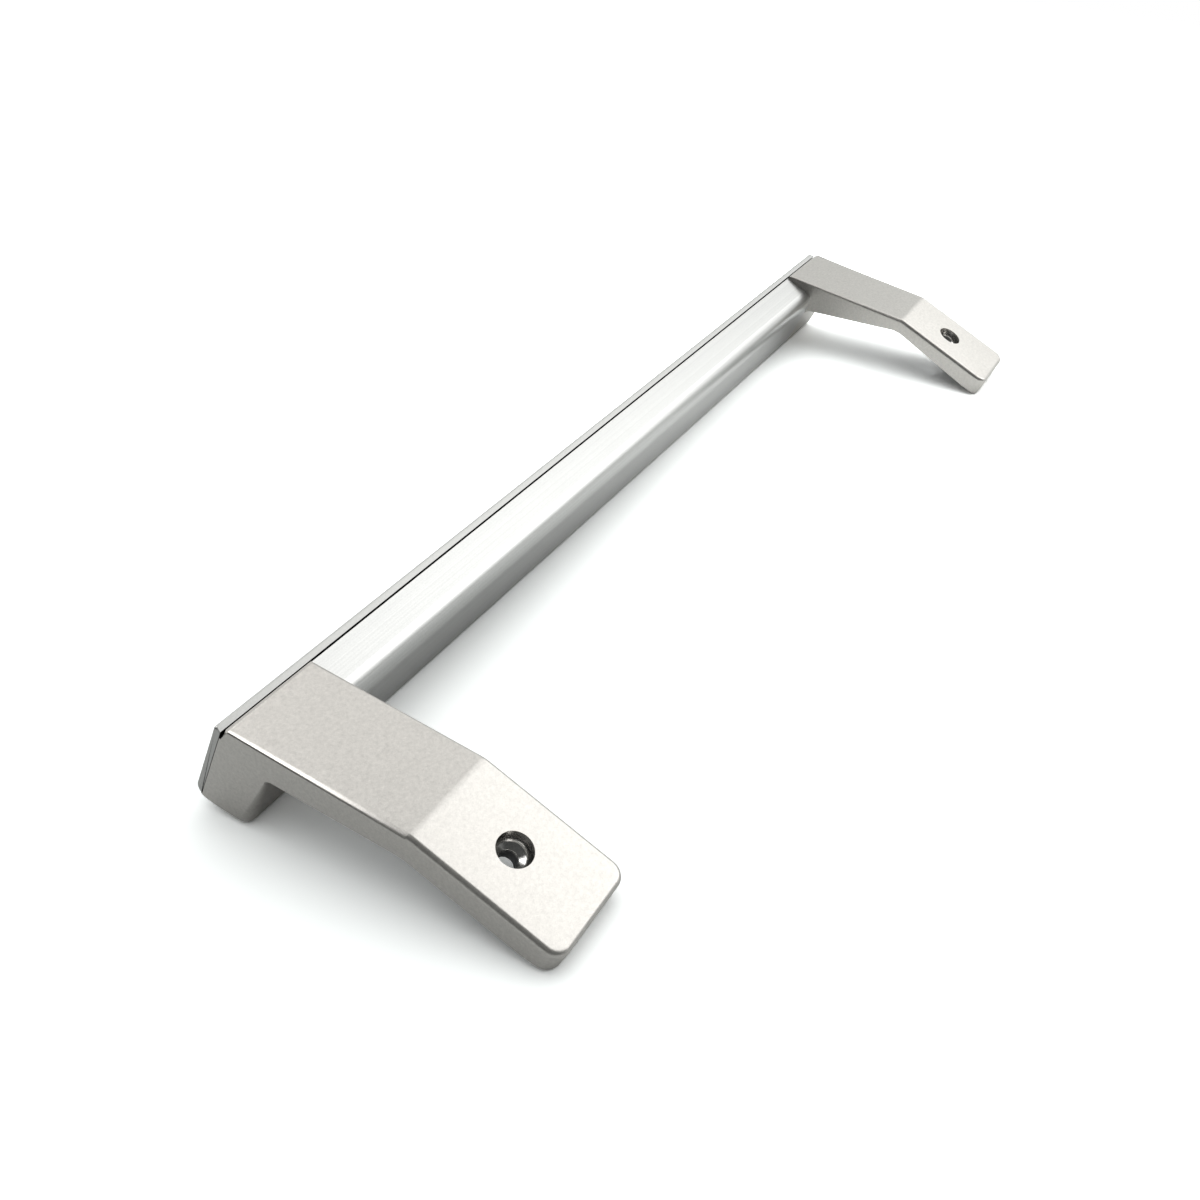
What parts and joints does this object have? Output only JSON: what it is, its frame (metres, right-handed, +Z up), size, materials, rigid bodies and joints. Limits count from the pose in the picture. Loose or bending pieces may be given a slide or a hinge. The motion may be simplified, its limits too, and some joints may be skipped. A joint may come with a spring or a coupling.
{
  "type": "refrigerator door handle",
  "caption": "Straight pull handle for a refrigerator door: a hollow metal bar between bent silver brackets with screw feet, and a flat cover strip along the front.",
  "frame": {"origin": "on the ground under the middle of the handle as it lies on its heel and foot tips", "axes": "+X along the bar towards the lower bracket, +Y from the cover strip towards the feet, +Z up from the ground it lies on"},
  "size_m": [0.338, 0.098, 0.0299],
  "materials": {
    "bar": "satin anodised, with fine lines along its length",
    "strip": "satin anodised",
    "bracket": "satin silver paint with fine metal flake",
    "cup": "bright drawn steel",
    "screw": "zinc plated"
  },
  "bodies": {
    "root": {"grip_bar": "bar", "front_strip": "strip", "lower_bracket": "bracket", "upper_bracket": "bracket", "lower_screw_cup": "cup", "upper_screw_cup": "cup", "lower_bar_screws": "screw", "upper_bar_screws": "screw"}
  },
  "joints": []
}
